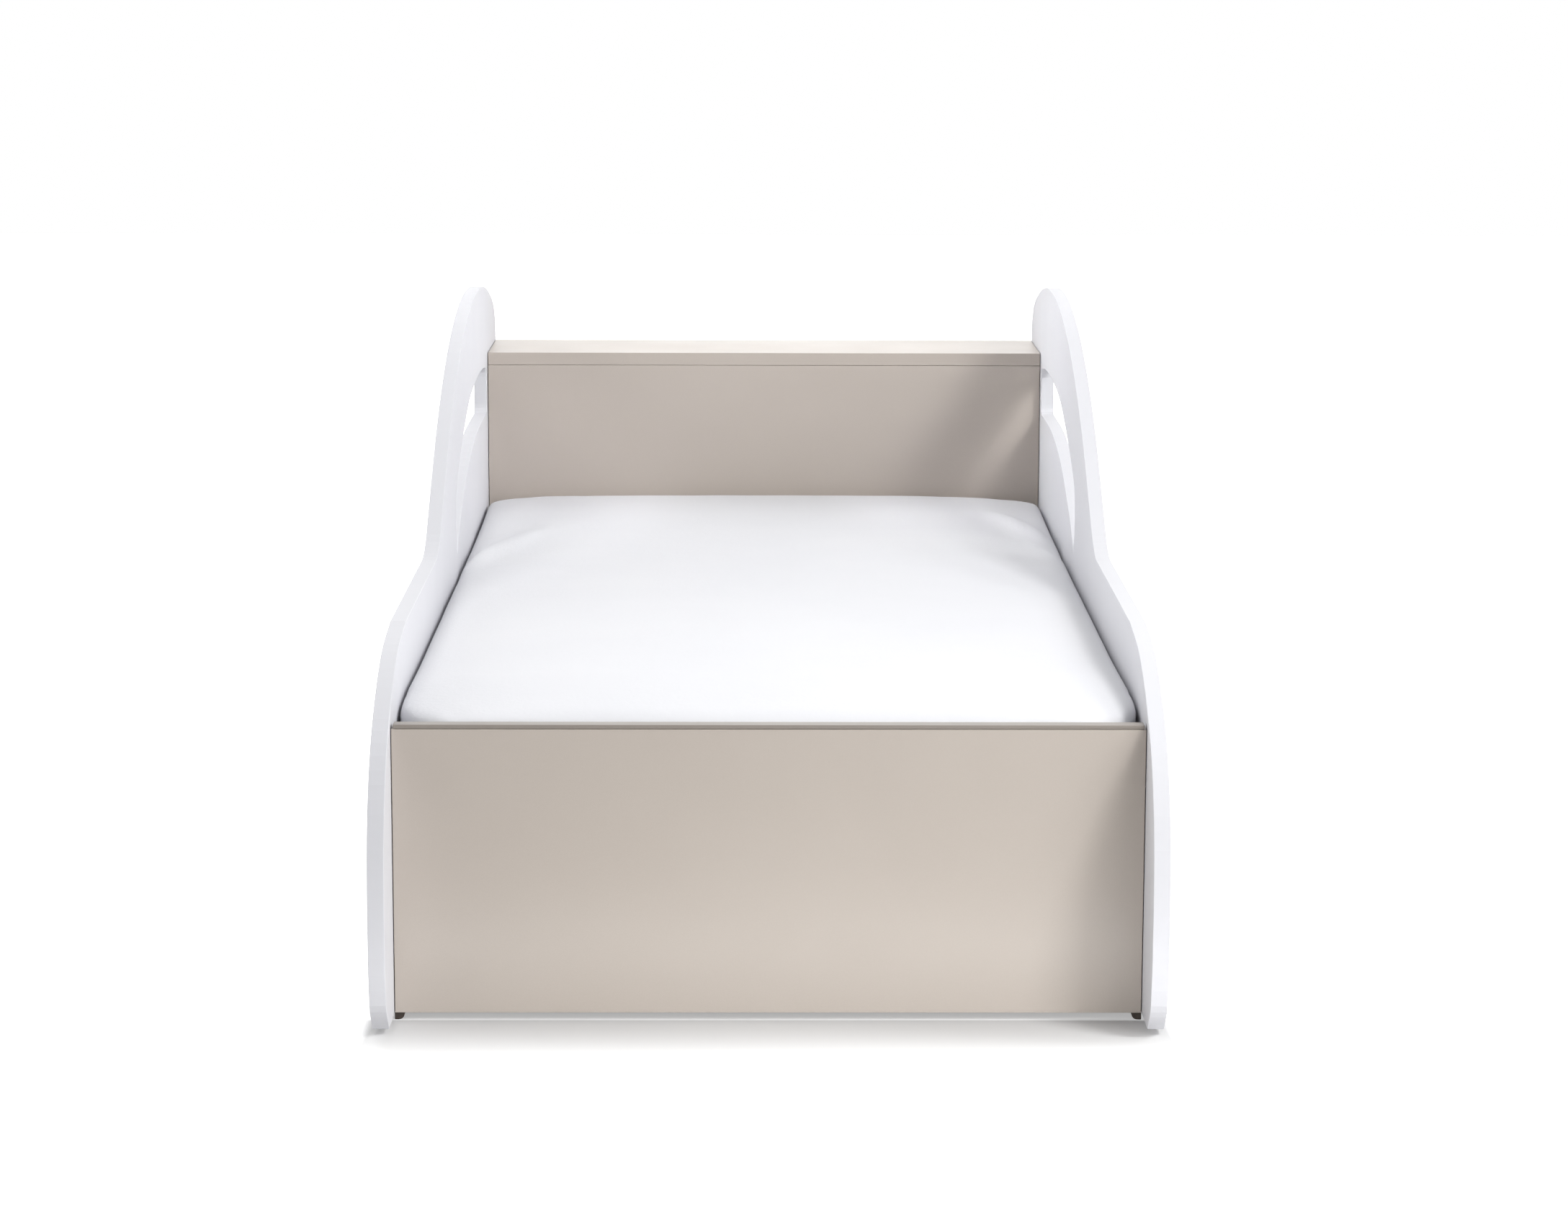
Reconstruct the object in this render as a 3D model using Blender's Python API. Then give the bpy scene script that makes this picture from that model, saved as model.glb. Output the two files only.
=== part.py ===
"""Toddler bed: two shaped side panels, a footboard, a boxed headboard, a slatted base and a mattress.

The foot end faces -Y and the bed stands on four glides at Z = 0. Heights in the constants are taken
from the lower edge of the side panels, and lengths run back from the front face of the footboard.
"""
import math

import bmesh
import bpy
from mathutils import Matrix, Vector

# Frame
INNER_WIDTH = 0.720             # between the side panels
BOARD = 0.016                   # thickness of every board and panel
INNER_LENGTH = 1.430            # footboard front face to headboard front face
FOOT_Y = -0.7562                # footboard front face
GLIDE_DROP = 0.006              # the glides lift the side panels this far off the floor
GAP = 0.0003                    # assembly gap between neighbours
END_GAP = 0.0008                # board end to side panel
HEAD_Y = FOOT_Y + INNER_LENGTH
HALF_INNER = INNER_WIDTH / 2
BOARD_HALF = HALF_INNER - END_GAP

# Side panel outline: (back from the footboard's face, up from the panel's lower edge)
PANEL_EDGE_RADIUS = 0.0024
BOW = ((-0.052, 0.0), (-0.079, 0.030), (-0.0875, 0.110), (-0.077, 0.198), (-0.040, 0.262),
       (0.020, 0.306), (0.095, 0.337), (0.190, 0.3505))
LOW_EDGE_END = (0.572, 0.3505)
KINK = (0.604, 0.3515)
FIN = ((0.634, 0.369), (0.698, 0.410), (0.790, 0.4645), (0.900, 0.5135), (1.030, 0.5530),
       (1.169, 0.5755), (1.300, 0.5805), (1.400, 0.5730), (1.500, 0.5545), (1.565, 0.5345),
       (1.592, 0.5130), (1.600, 0.4850))
PANEL_REAR = 1.600
REAR_FOOT_RADIUS = 0.020
FRONT_FOOT_RADIUS = 0.012

# Leaf-shaped opening in the fin
LEAF_TIP = (0.8760, 0.3080)
LEAF_FRONT = ((0.8650, 0.330), (0.8625, 0.364), (0.8730, 0.386), (0.9050, 0.4045), (0.9700, 0.4270),
              (1.0410, 0.4480), (1.1000, 0.4620), (1.1800, 0.4710), (1.2660, 0.4750), (1.3500, 0.4735))
LEAF_REAR = 1.410
LEAF_CORNERS = ((1.392, 0.4695), (1.410, 0.4560), (1.410, 0.4210), (1.398, 0.4090))
LEAF_LOWER = ((1.3500, 0.4095), (1.2290, 0.4080), (1.1200, 0.3965), (1.0450, 0.3795), (0.9680, 0.3545),
              (0.9150, 0.3330))

# Boards
FOOT_LOW = 0.0014
HEAD_LOW = 0.0034
FOOT_SEAM = 0.2798
STRIP_HEIGHT = 0.0043
STRIP_HALF = BOARD_HALF - 0.0014
CAP_TOP = 0.4855
CAP_DEPTH = 0.161
BACK_INSET = 0.0015             # the back panel stands this far inside the cap's rear edge
BOARD_ARRIS = 0.0006
CAP_Y = HEAD_Y + CAP_DEPTH / 2
BACK_Y = HEAD_Y + CAP_DEPTH - BACK_INSET - BOARD

# Slatted base
RAIL_WIDTH = 0.022
RAIL_LOW = 0.118
RAIL_SEAT = 0.1670              # floor of the notches
NOTCH_DEPTH = 0.0075
RAIL_START = 0.0185
RAIL_END = INNER_LENGTH - 0.0025
SLAT_COUNT = 12
SLAT_WIDTH = 0.068
SLAT_T = 0.012
SLAT_HALF = 0.356
NOTCH_PLAY = 0.0010
SLAT_MARGIN = 0.012             # first slat from the rail's end

# Mattress
SHEET_T = 0.0012
MATTRESS_LOW = RAIL_SEAT + GAP + SLAT_T + GAP
MATTRESS_TOP = 0.2990
MATTRESS_HALF_X = 0.3545
MATTRESS_FRONT = BOARD + 0.005
MATTRESS_BACK = INNER_LENGTH - 0.006
MATTRESS_CORNER = 0.060
MATTRESS_EDGE = 0.020
MATTRESS_FOOT_EDGE = 0.012
HEM_RETURN = 0.055
CORNER_STEPS = 7

# Glides
GLIDE_WIDTH = 0.0095
GLIDE_HEIGHT = 0.038
GLIDE_SHOULDER = 0.0054         # chamfer along the upper inner edge
GLIDE_ROUND = 0.0066
GLIDE_ARRIS = 0.0005
FOOT_GLIDE = (0.0025, 0.0575)   # start and end, back from the footboard's face
HEAD_GLIDE = (1.500, 1.540)
REBATE_CLEARANCE = 0.0012       # behind the footboard, in the step that takes its lower edge

# Fittings
CAM_RADIUS = 0.0072
CAM_DEPTH = 0.0122
CAM_INSET = 0.034               # board end to the cam's centre
CAM_SLOT_WIDTH = 0.0012
CAM_SLOT_DEPTH = 0.0016
BOLT_THREAD = 0.0024
BOLT_SHANK = 0.0032
BOLT_COLLAR = 0.0046
BOLT_HEAD = 0.0036
BOLT_BITE = 0.0110              # thread inside the side panel
BOLT_TIP = 0.0042               # head's end, short of the cam's centre
BOLT_POINT = 0.0015             # tapered start of the thread
BOLT_POINT_RADIUS = 0.00144
BOLT_COLLAR_T = 0.0020
BOLT_NECK = 0.00192
BOLT_NECK_START = 0.0062        # these three are short of the head's end
BOLT_NECK_END = 0.0034
BOLT_HEAD_START = 0.0024
BOLT_FACE_RADIUS = 0.0029
TURNED_CHAMFER = 0.0004
SCREW_HEAD = 0.0040
SCREW_SHANK = 0.0020
SCREW_BITE = 0.0105
SCREW_HEAD_HEIGHT = 0.0024
SCREW_FACE = 0.0028
SCREW_DOME = 0.0009
SCREW_POINT = 0.0030
SCREW_TIP = 0.0005
FOOT_CAM_HEIGHTS = (0.060, 0.225)
HEAD_CAM_HEIGHTS = (0.080, 0.400)
BACK_CAM_HEIGHT = 0.250
SCREW_COUNT = 4
SCREW_HEIGHT = 0.140
SCREW_MARGIN = 0.080


def clear_scene():
    for item in list(bpy.data.objects):
        bpy.data.objects.remove(item, do_unlink=True)


def finish(name, colour, roughness, metallic=0.0):
    """A Principled material with plain values."""
    material = bpy.data.materials.new(name)
    material.use_nodes = True
    shader = material.node_tree.nodes["Principled BSDF"]
    shader.inputs["Base Color"].default_value = (*colour, 1.0)
    shader.inputs["Roughness"].default_value = roughness
    shader.inputs["Metallic"].default_value = metallic
    return material


def add_object(name, mesh, material=None):
    """Links a mesh to the scene and gives it its finish."""
    item = bpy.data.objects.new(name, mesh)
    bpy.context.scene.collection.objects.link(item)
    if material:
        mesh.materials.append(material)
    return item


def mesh_from(bm, name, smooth_angle=None):
    """Closes off a bmesh as mesh data, smooth shaded up to an angle where one is given."""
    bmesh.ops.recalc_face_normals(bm, faces=bm.faces)
    mesh = bpy.data.meshes.new(name)
    bm.to_mesh(mesh)
    bm.free()
    if smooth_angle:
        mesh.shade_smooth()
        mesh.set_sharp_from_angle(angle=smooth_angle)
    return mesh


def soften(item, width, segments=2, angle=math.radians(40)):
    """Rounds the arrises."""
    bevel = item.modifiers.new("arris", "BEVEL")
    bevel.width = width
    bevel.segments = segments
    bevel.limit_method = "ANGLE"
    bevel.angle_limit = angle
    bevel.use_clamp_overlap = True


def at(back, up):
    """Lengths and heights of the constants, as world Y and Z."""
    return FOOT_Y + back, GLIDE_DROP + up


def spline(points, steps):
    """A smooth run through the points, with tangents weighted by the spacing of its neighbours."""
    knots = [Vector(p) for p in points]
    tangents = []
    for i, knot in enumerate(knots):
        before = knots[max(i - 1, 0)]
        after = knots[min(i + 1, len(knots) - 1)]
        tangents.append((after - before).normalized() if after != before else Vector((0, 0)))
    run = [knots[0]]
    for i in range(len(knots) - 1):
        a, b = knots[i], knots[i + 1]
        reach = (b - a).length / 3
        for s in range(1, steps + 1):
            t = s / steps
            u = 1 - t
            h0, h1 = a + tangents[i] * reach, b - tangents[i + 1] * reach
            run.append(a * u ** 3 + h0 * (3 * t * u * u) + h1 * (3 * t * t * u) + b * t ** 3)
    return [tuple(p) for p in run]


def turn(start, corner, end, steps):
    """A rounded corner between two straight runs."""
    a, c, b = Vector(start), Vector(corner), Vector(end)
    return [tuple(a * (1 - t) ** 2 + c * (2 * t * (1 - t)) + b * t * t)
            for t in (s / steps for s in range(steps + 1))]


def panel_outline():
    """The side panel's edge, from the front foot up over the fin and down the rear edge."""
    edge = spline(BOW, 5)
    edge += turn(LOW_EDGE_END, KINK, FIN[0], 5)
    edge += spline(FIN, 4)[1:]
    edge += turn((PANEL_REAR, REAR_FOOT_RADIUS), (PANEL_REAR, 0.0), (PANEL_REAR - REAR_FOOT_RADIUS, 0.0), 5)
    return edge


def leaf_outline():
    """The opening's edge, from its lower tip forwards and round."""
    edge = [LEAF_TIP]
    edge += spline((LEAF_TIP,) + LEAF_FRONT + (LEAF_CORNERS[0],), 3)[1:]
    edge += turn(LEAF_CORNERS[0], (LEAF_REAR, LEAF_CORNERS[0][1] - 0.001), LEAF_CORNERS[1], 4)[1:]
    edge += turn(LEAF_CORNERS[2], (LEAF_REAR, LEAF_CORNERS[3][1]), LEAF_CORNERS[3], 4)
    edge += spline(LEAF_LOWER + (LEAF_TIP,), 3)[:-1]
    return edge


def plate(name, loops, x0, x1, material=None):
    """A flat plate across X between x0 and x1, from an outer loop and any inner loops in Y and Z."""
    bm = bmesh.new()
    edges = []
    for loop in loops:
        ring = [bm.verts.new((x0, *at(*p))) for p in loop]
        edges += [bm.edges.new((ring[i - 1], ring[i])) for i in range(len(ring))]
    bmesh.ops.triangle_fill(bm, use_beauty=True, use_dissolve=False, edges=edges, normal=(1, 0, 0))
    extruded = bmesh.ops.extrude_face_region(bm, geom=list(bm.faces))
    moved = [g for g in extruded["geom"] if isinstance(g, bmesh.types.BMVert)]
    bmesh.ops.translate(bm, verts=moved, vec=(x1 - x0, 0, 0))
    return add_object(name, mesh_from(bm, name, math.radians(35)), material)


def block(name, low, high, material, arris=BOARD_ARRIS):
    """A board given by its lower and upper corners in world X, Y, Z."""
    low, high = Vector(low), Vector(high)
    bm = bmesh.new()
    bmesh.ops.create_cube(bm, size=1.0)
    size = high - low
    bmesh.ops.scale(bm, verts=bm.verts, vec=size)
    item = add_object(name, mesh_from(bm, name), material)
    item.location = (low + high) / 2
    if arris:
        soften(item, arris)
    return item


def rods_mesh(name, rods, sides):
    """Plain cylinders in one mesh: each rod is its start, its direction, its radius and its length.

    They are turned a little about their own axes, so that no corner falls on a neighbour's corner.
    """
    bm = bmesh.new()
    off_corner = Matrix.Rotation(math.tau / sides * 0.3, 4, "Z")
    for start, direction, radius, length in rods:
        way = Vector(direction).normalized()
        spin = way.to_track_quat("Z", "Y").to_matrix().to_4x4()
        place = Matrix.Translation(Vector(start) + way * (length / 2)) @ spin @ off_corner
        bmesh.ops.create_cone(bm, cap_ends=True, segments=sides, radius1=radius, radius2=radius,
                              depth=length, matrix=place)
    return mesh_from(bm, name)


def drill(item, name, rods, sides=20):
    """Cuts every rod out of a board."""
    cutter = add_object(name, rods_mesh(name, rods, sides))
    cutter.hide_render = True
    cutter.display_type = "WIRE"
    cut = item.modifiers.new("bores", "BOOLEAN")
    cut.operation = "DIFFERENCE"
    cut.solver = "EXACT"
    cut.use_self = True
    cut.object = cutter


def lathe(name, profile, start, direction, material, sides=16):
    """A turned piece: the profile is (along the axis, radius), closed at both ends on the axis."""
    bm = bmesh.new()
    rings = []
    for along, radius in profile:
        ring = []
        for s in range(sides):
            a = math.tau * s / sides
            ring.append(bm.verts.new((radius * math.cos(a), radius * math.sin(a), along)))
        rings.append(ring)
    for lower, upper in zip(rings, rings[1:]):
        for s in range(sides):
            bm.faces.new((lower[s - 1], lower[s], upper[s], upper[s - 1]))
    bm.faces.new(rings[0])
    bm.faces.new(rings[-1])
    item = add_object(name, mesh_from(bm, name, math.radians(35)), material)
    item.rotation_mode = "QUATERNION"
    item.rotation_quaternion = Vector(direction).to_track_quat("Z", "Y")
    item.location = start
    return item


def rounded_plan(half_x, half_y, radius, z, centre_y):
    """Points round a rectangle with rounded corners."""
    ring = []
    for corner, (sx, sy) in enumerate(((1, 1), (-1, 1), (-1, -1), (1, -1))):
        for s in range(CORNER_STEPS + 1):
            a = math.pi / 2 * (corner + s / CORNER_STEPS)
            x = sx * (half_x - radius) + radius * math.cos(a)
            y = sy * (half_y - radius) + radius * math.sin(a)
            ring.append((x, centre_y + y, z))
    return ring


def cushion_rings(inset, low, top, hem=None):
    """Rings of a mattress-shaped skin from its foot to its top: (how far in, height)."""
    rings = []
    if hem:
        rings.append((inset + hem, low))
    for radius, centre, start in ((MATTRESS_FOOT_EDGE, low + MATTRESS_FOOT_EDGE, 3),
                                  (MATTRESS_EDGE, top - MATTRESS_EDGE, 0)):
        for s in range(5):
            a = math.pi / 2 * (start + s / 4)
            rings.append((inset + radius - radius * math.cos(a), centre + radius * math.sin(a)))
    return rings


def skin(bm, rings, half_x, half_y, centre_y, corner):
    """Rows of faces between the rings, each a rounded rectangle in plan."""
    rows = []
    for inset, z in rings:
        radius = max(corner - inset, 0.004)
        plan = rounded_plan(half_x - inset, half_y - inset, radius, z, centre_y)
        rows.append([bm.verts.new(p) for p in plan])
    for lower, upper in zip(rows, rows[1:]):
        for s in range(len(lower)):
            bm.faces.new((lower[s - 1], lower[s], upper[s], upper[s - 1]))
    return rows


def build_mattress(foam, cotton):
    """The foam core and the elasticated sheet that wraps it, with its hem turned under."""
    front, low = at(MATTRESS_FRONT, MATTRESS_LOW)
    back, top = at(MATTRESS_BACK, MATTRESS_TOP)
    half_y = (back - front) / 2
    centre_y = (back + front) / 2
    lining = SHEET_T + GAP
    core = bmesh.new()
    rows = skin(core, cushion_rings(lining, low + lining, top - lining), MATTRESS_HALF_X, half_y,
                centre_y, MATTRESS_CORNER)
    core.faces.new(rows[0])
    core.faces.new(rows[-1])
    add_object("mattress_core", mesh_from(core, "mattress_core", math.radians(50)), foam)
    cover = bmesh.new()
    outer = skin(cover, cushion_rings(0.0, low, top, HEM_RETURN), MATTRESS_HALF_X, half_y,
                 centre_y, MATTRESS_CORNER)
    inner = skin(cover, cushion_rings(SHEET_T, low + SHEET_T, top - SHEET_T, HEM_RETURN - SHEET_T),
                 MATTRESS_HALF_X, half_y, centre_y, MATTRESS_CORNER)
    cover.faces.new(outer[-1])
    cover.faces.new(inner[-1])
    for s in range(len(outer[0])):
        cover.faces.new((outer[0][s - 1], outer[0][s], inner[0][s], inner[0][s - 1]))
    add_object("fitted_sheet", mesh_from(cover, "fitted_sheet", math.radians(50)), cotton)


def side_name(side):
    return "left" if side < 0 else "right"


def screw_stations():
    """How far back each rail screw is."""
    span = RAIL_END - RAIL_START - 2 * SCREW_MARGIN
    return [RAIL_START + SCREW_MARGIN + span * i / (SCREW_COUNT - 1) for i in range(SCREW_COUNT)]


def joint_stations():
    """Each cam joint on one side: its name, how far back and how high, and the face the cam sits in."""
    stations = []
    for i, up in enumerate(FOOT_CAM_HEIGHTS):
        stations.append((f"foot_{i + 1}", BOARD / 2, up, (0, 1, 0)))
    for i, up in enumerate(HEAD_CAM_HEIGHTS):
        stations.append((f"head_{i + 1}", INNER_LENGTH + BOARD / 2, up, (0, 1, 0)))
    stations.append(("back", BACK_Y - FOOT_Y + BOARD / 2, BACK_CAM_HEIGHT, (0, -1, 0)))
    stations.append(("cap", CAP_Y - FOOT_Y, CAP_TOP - BOARD / 2, (0, 0, -1)))
    return stations


def build_side_panel(side, lacquer):
    """One side panel with its leaf opening and the blind bores for its bolts and screws."""
    name = f"side_panel_{side_name(side)}"
    inner, outer = side * HALF_INNER, side * (HALF_INNER + BOARD)
    panel = plate(name, [panel_outline(), leaf_outline()], min(inner, outer), max(inner, outer), lacquer)
    soften(panel, PANEL_EDGE_RADIUS, 3)
    bores = []
    for _, back, up, _ in joint_stations():
        bores.append(((inner - side * BOARD, *at(back, up)), (side, 0, 0), BOLT_THREAD + GAP,
                      BOARD + BOLT_BITE + GAP))
    for back in screw_stations():
        bores.append(((inner - side * BOARD, *at(back, SCREW_HEIGHT)), (side, 0, 0), SCREW_SHANK + GAP,
                      BOARD + SCREW_BITE + GAP))
    drill(panel, f"bores_{name}", bores, 16)


def board_bores(prefix):
    """End bores for the bolts and face pockets for the cams of one board, on both sides."""
    rods = []
    for name, back, up, face in joint_stations():
        if not name.startswith(prefix):
            continue
        for side in (-1, 1):
            rods.append(((side * HALF_INNER, *at(back, up)), (-side, 0, 0), BOLT_COLLAR + GAP, CAM_INSET))
            centre = Vector((side * (BOARD_HALF - CAM_INSET), *at(back, up)))
            way = Vector(face)
            rods.append((centre + way * BOARD, -way, CAM_RADIUS + GAP,
                         BOARD / 2 + CAM_DEPTH + GAP))
    return rods


def build_cam_joints(zinc, steel):
    """Every cam lock and its bolt. The bolt screws into the side panel; its head stands in the cam."""
    for name, back, up, face in joint_stations():
        for side in (-1, 1):
            label = f"{name}_{side_name(side)}"
            y, z = at(back, up)
            reach = HALF_INNER - BOARD_HALF + CAM_INSET - BOLT_TIP
            bolt = ((-BOLT_BITE, BOLT_POINT_RADIUS), (-BOLT_BITE + BOLT_POINT, BOLT_THREAD),
                    (GAP, BOLT_THREAD), (GAP, BOLT_COLLAR), (BOLT_COLLAR_T, BOLT_COLLAR),
                    (BOLT_COLLAR_T + TURNED_CHAMFER, BOLT_SHANK),
                    (reach - BOLT_NECK_START - TURNED_CHAMFER, BOLT_SHANK), (reach - BOLT_NECK_START, BOLT_NECK),
                    (reach - BOLT_NECK_END, BOLT_NECK), (reach - BOLT_HEAD_START, BOLT_HEAD),
                    (reach - TURNED_CHAMFER, BOLT_HEAD), (reach, BOLT_FACE_RADIUS))
            lathe(f"cam_bolt_{label}", bolt, (side * HALF_INNER, y, z), (-side, 0, 0), steel)
            centre = Vector((side * (BOARD_HALF - CAM_INSET), y, z))
            way = Vector(face)
            mouth = centre + way * (BOARD / 2 - GAP)
            barrel = ((-CAM_DEPTH, CAM_RADIUS - TURNED_CHAMFER), (-CAM_DEPTH + TURNED_CHAMFER, CAM_RADIUS),
                      (-TURNED_CHAMFER, CAM_RADIUS), (0.0, CAM_RADIUS - TURNED_CHAMFER))
            cam = lathe(f"cam_lock_{label}", barrel, mouth, face, zinc, 24)
            entry = centre + Vector((side * CAM_RADIUS * 1.5, 0, 0))
            drill(cam, f"mouth_{label}", [(entry, (-side, 0, 0), BOLT_HEAD + GAP,
                                           CAM_RADIUS * 1.5 - BOLT_TIP + 2 * GAP)], 16)
            slot = bmesh.new()
            bmesh.ops.create_cube(slot, size=1.0)
            bmesh.ops.scale(slot, verts=slot.verts, vec=(CAM_RADIUS * 1.1, CAM_SLOT_WIDTH, 2 * CAM_SLOT_DEPTH))
            key = add_object(f"slot_{label}", mesh_from(slot, f"slot_{label}"))
            key.hide_render = True
            key.display_type = "WIRE"
            key.rotation_mode = "QUATERNION"
            key.rotation_quaternion = Vector(face).to_track_quat("Z", "Y")
            key.location = mouth
            cut = cam.modifiers.new("key_slot", "BOOLEAN")
            cut.operation = "DIFFERENCE"
            cut.solver = "EXACT"
            cut.object = key


def build_boards(laminate):
    """Footboard with its edge strip, and the boxed headboard: front, back and cap."""
    foot = block("footboard_panel", (-BOARD_HALF, *at(0, FOOT_LOW)), (BOARD_HALF, *at(BOARD, FOOT_SEAM)), laminate)
    drill(foot, "bores_foot", board_bores("foot"))
    block("footboard_edge_strip", (-STRIP_HALF, *at(0, FOOT_SEAM + GAP)),
          (STRIP_HALF, *at(BOARD, FOOT_SEAM + STRIP_HEIGHT)), laminate, 0.0009)
    under_cap = CAP_TOP - BOARD - GAP
    front = block("headboard_front_panel", (-BOARD_HALF, *at(INNER_LENGTH, HEAD_LOW)),
                  (BOARD_HALF, *at(INNER_LENGTH + BOARD, under_cap)), laminate)
    drill(front, "bores_head", board_bores("head"))
    rear = BACK_Y - FOOT_Y
    back = block("headboard_back_panel", (-BOARD_HALF, *at(rear, HEAD_LOW)),
                 (BOARD_HALF, *at(rear + BOARD, under_cap)), laminate)
    drill(back, "bores_back", board_bores("back"))
    cap = block("headboard_cap", (-BOARD_HALF, *at(INNER_LENGTH, CAP_TOP - BOARD)),
                (BOARD_HALF, *at(INNER_LENGTH + CAP_DEPTH, CAP_TOP)), laminate)
    drill(cap, "bores_cap", board_bores("cap"))


def slat_stations():
    """How far back the front edge of each slat is."""
    first = RAIL_START + SLAT_MARGIN
    last = RAIL_END - SLAT_MARGIN - SLAT_WIDTH
    return [first + (last - first) * i / (SLAT_COUNT - 1) for i in range(SLAT_COUNT)]


def rail_outline():
    """A batten with a notch for every slat."""
    edge = [(RAIL_START, RAIL_LOW)]
    crest = RAIL_SEAT + NOTCH_DEPTH
    edge.append((RAIL_START, crest))
    for back in slat_stations():
        near, far = back - NOTCH_PLAY, back + SLAT_WIDTH + NOTCH_PLAY
        edge += [(near, crest), (near, RAIL_SEAT), (far, RAIL_SEAT), (far, crest)]
    edge.append((RAIL_END, crest))
    edge.append((RAIL_END, RAIL_LOW))
    return edge


def build_base(birch, pine, steel):
    """Two notched rails screwed to the side panels, and the slats that lie in them."""
    for side in (-1, 1):
        near, far = side * (HALF_INNER - GAP), side * (HALF_INNER - GAP - RAIL_WIDTH)
        rail = plate(f"base_rail_{side_name(side)}", [rail_outline()], min(near, far), max(near, far), pine)
        soften(rail, 0.0008, 1)
        rods = []
        for i, back in enumerate(screw_stations()):
            y, z = at(back, SCREW_HEIGHT)
            head_seat = far + side * (SCREW_HEAD_HEIGHT + 2 * GAP)
            rods.append(((near + side * BOARD, y, z), (-side, 0, 0), SCREW_SHANK + GAP, RAIL_WIDTH + 2 * BOARD))
            rods.append(((head_seat, y, z), (-side, 0, 0), SCREW_HEAD + GAP, BOARD))
            under_head = abs(head_seat) - GAP
            tip = HALF_INNER + SCREW_BITE - under_head
            shape = ((-SCREW_HEAD_HEIGHT, SCREW_FACE), (-SCREW_HEAD_HEIGHT + SCREW_DOME, SCREW_HEAD),
                     (0.0, SCREW_HEAD), (0.0, SCREW_SHANK), (tip - SCREW_POINT, SCREW_SHANK),
                     (tip, SCREW_TIP))
            lathe(f"rail_screw_{side_name(side)}_{i + 1}", shape, (side * under_head, y, z), (side, 0, 0),
                  steel, 14)
        drill(rail, f"bores_rail_{side_name(side)}", rods, 16)
    for i, back in enumerate(slat_stations()):
        block(f"slat_{i + 1:02d}", (-SLAT_HALF, *at(back, RAIL_SEAT + GAP)),
              (SLAT_HALF, *at(back + SLAT_WIDTH, RAIL_SEAT + GAP + SLAT_T)), birch, 0.0015)


def build_glides(plastic):
    """Moulded glides on the inner faces of the side panels, rounded along their lower inner edge.

    The two at the foot are stepped, and reach forward under the footboard.
    """
    wall = HALF_INNER - GAP
    inner = wall - GLIDE_WIDTH
    top = GLIDE_HEIGHT - GLIDE_DROP
    profile = [(wall, -GLIDE_DROP), (wall, top), (inner + GLIDE_SHOULDER, top), (inner, top - GLIDE_SHOULDER)]
    profile += turn((inner, GLIDE_ROUND - GLIDE_DROP), (inner, -GLIDE_DROP), (inner + GLIDE_ROUND, -GLIDE_DROP), 6)
    for side in (-1, 1):
        for end, (start, stop) in (("foot", FOOT_GLIDE), ("head", HEAD_GLIDE)):
            name = f"glide_{end}_{side_name(side)}"
            bm = bmesh.new()
            ring = [bm.verts.new((side * x, *at(start, z))) for x, z in profile]
            bm.faces.new(ring)
            extruded = bmesh.ops.extrude_face_region(bm, geom=list(bm.faces))
            moved = [g for g in extruded["geom"] if isinstance(g, bmesh.types.BMVert)]
            bmesh.ops.translate(bm, verts=moved, vec=(0, stop - start, 0))
            glide = add_object(name, mesh_from(bm, name, math.radians(35)), plastic)
            if end == "foot":
                rebate = block(f"rebate_{side_name(side)}", (-HALF_INNER - BOARD, *at(-BOARD, FOOT_LOW - GAP)),
                               (HALF_INNER + BOARD, *at(BOARD + REBATE_CLEARANCE, 2 * GLIDE_HEIGHT)), None, 0)
                rebate.hide_render = True
                rebate.display_type = "WIRE"
                step = glide.modifiers.new("step", "BOOLEAN")
                step.operation = "DIFFERENCE"
                step.solver = "EXACT"
                step.object = rebate
            soften(glide, GLIDE_ARRIS, 1)


def build():
    clear_scene()
    lacquer = finish("white_lacquer", (0.82, 0.82, 0.84), 0.35)
    laminate = finish("taupe_laminate", (0.46, 0.40, 0.35), 0.30)
    birch = finish("slat_birch", (0.72, 0.55, 0.36), 0.55)
    pine = finish("rail_pine", (0.74, 0.58, 0.38), 0.60)
    plastic = finish("glide_plastic", (0.050, 0.036, 0.028), 0.45)
    foam = finish("mattress_foam", (0.86, 0.84, 0.78), 0.90)
    cotton = finish("sheet_cotton", (0.88, 0.89, 0.90), 0.85)
    zinc = finish("zinc_casting", (0.62, 0.62, 0.62), 0.40, 1.0)
    steel = finish("bright_steel", (0.70, 0.70, 0.72), 0.28, 1.0)
    for side in (-1, 1):
        build_side_panel(side, lacquer)
    build_boards(laminate)
    build_base(birch, pine, steel)
    build_mattress(foam, cotton)
    build_glides(plastic)
    build_cam_joints(zinc, steel)


build()
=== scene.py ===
import math

import bmesh
import bpy
import numpy as np
from mathutils import Matrix, Vector, noise


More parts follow.
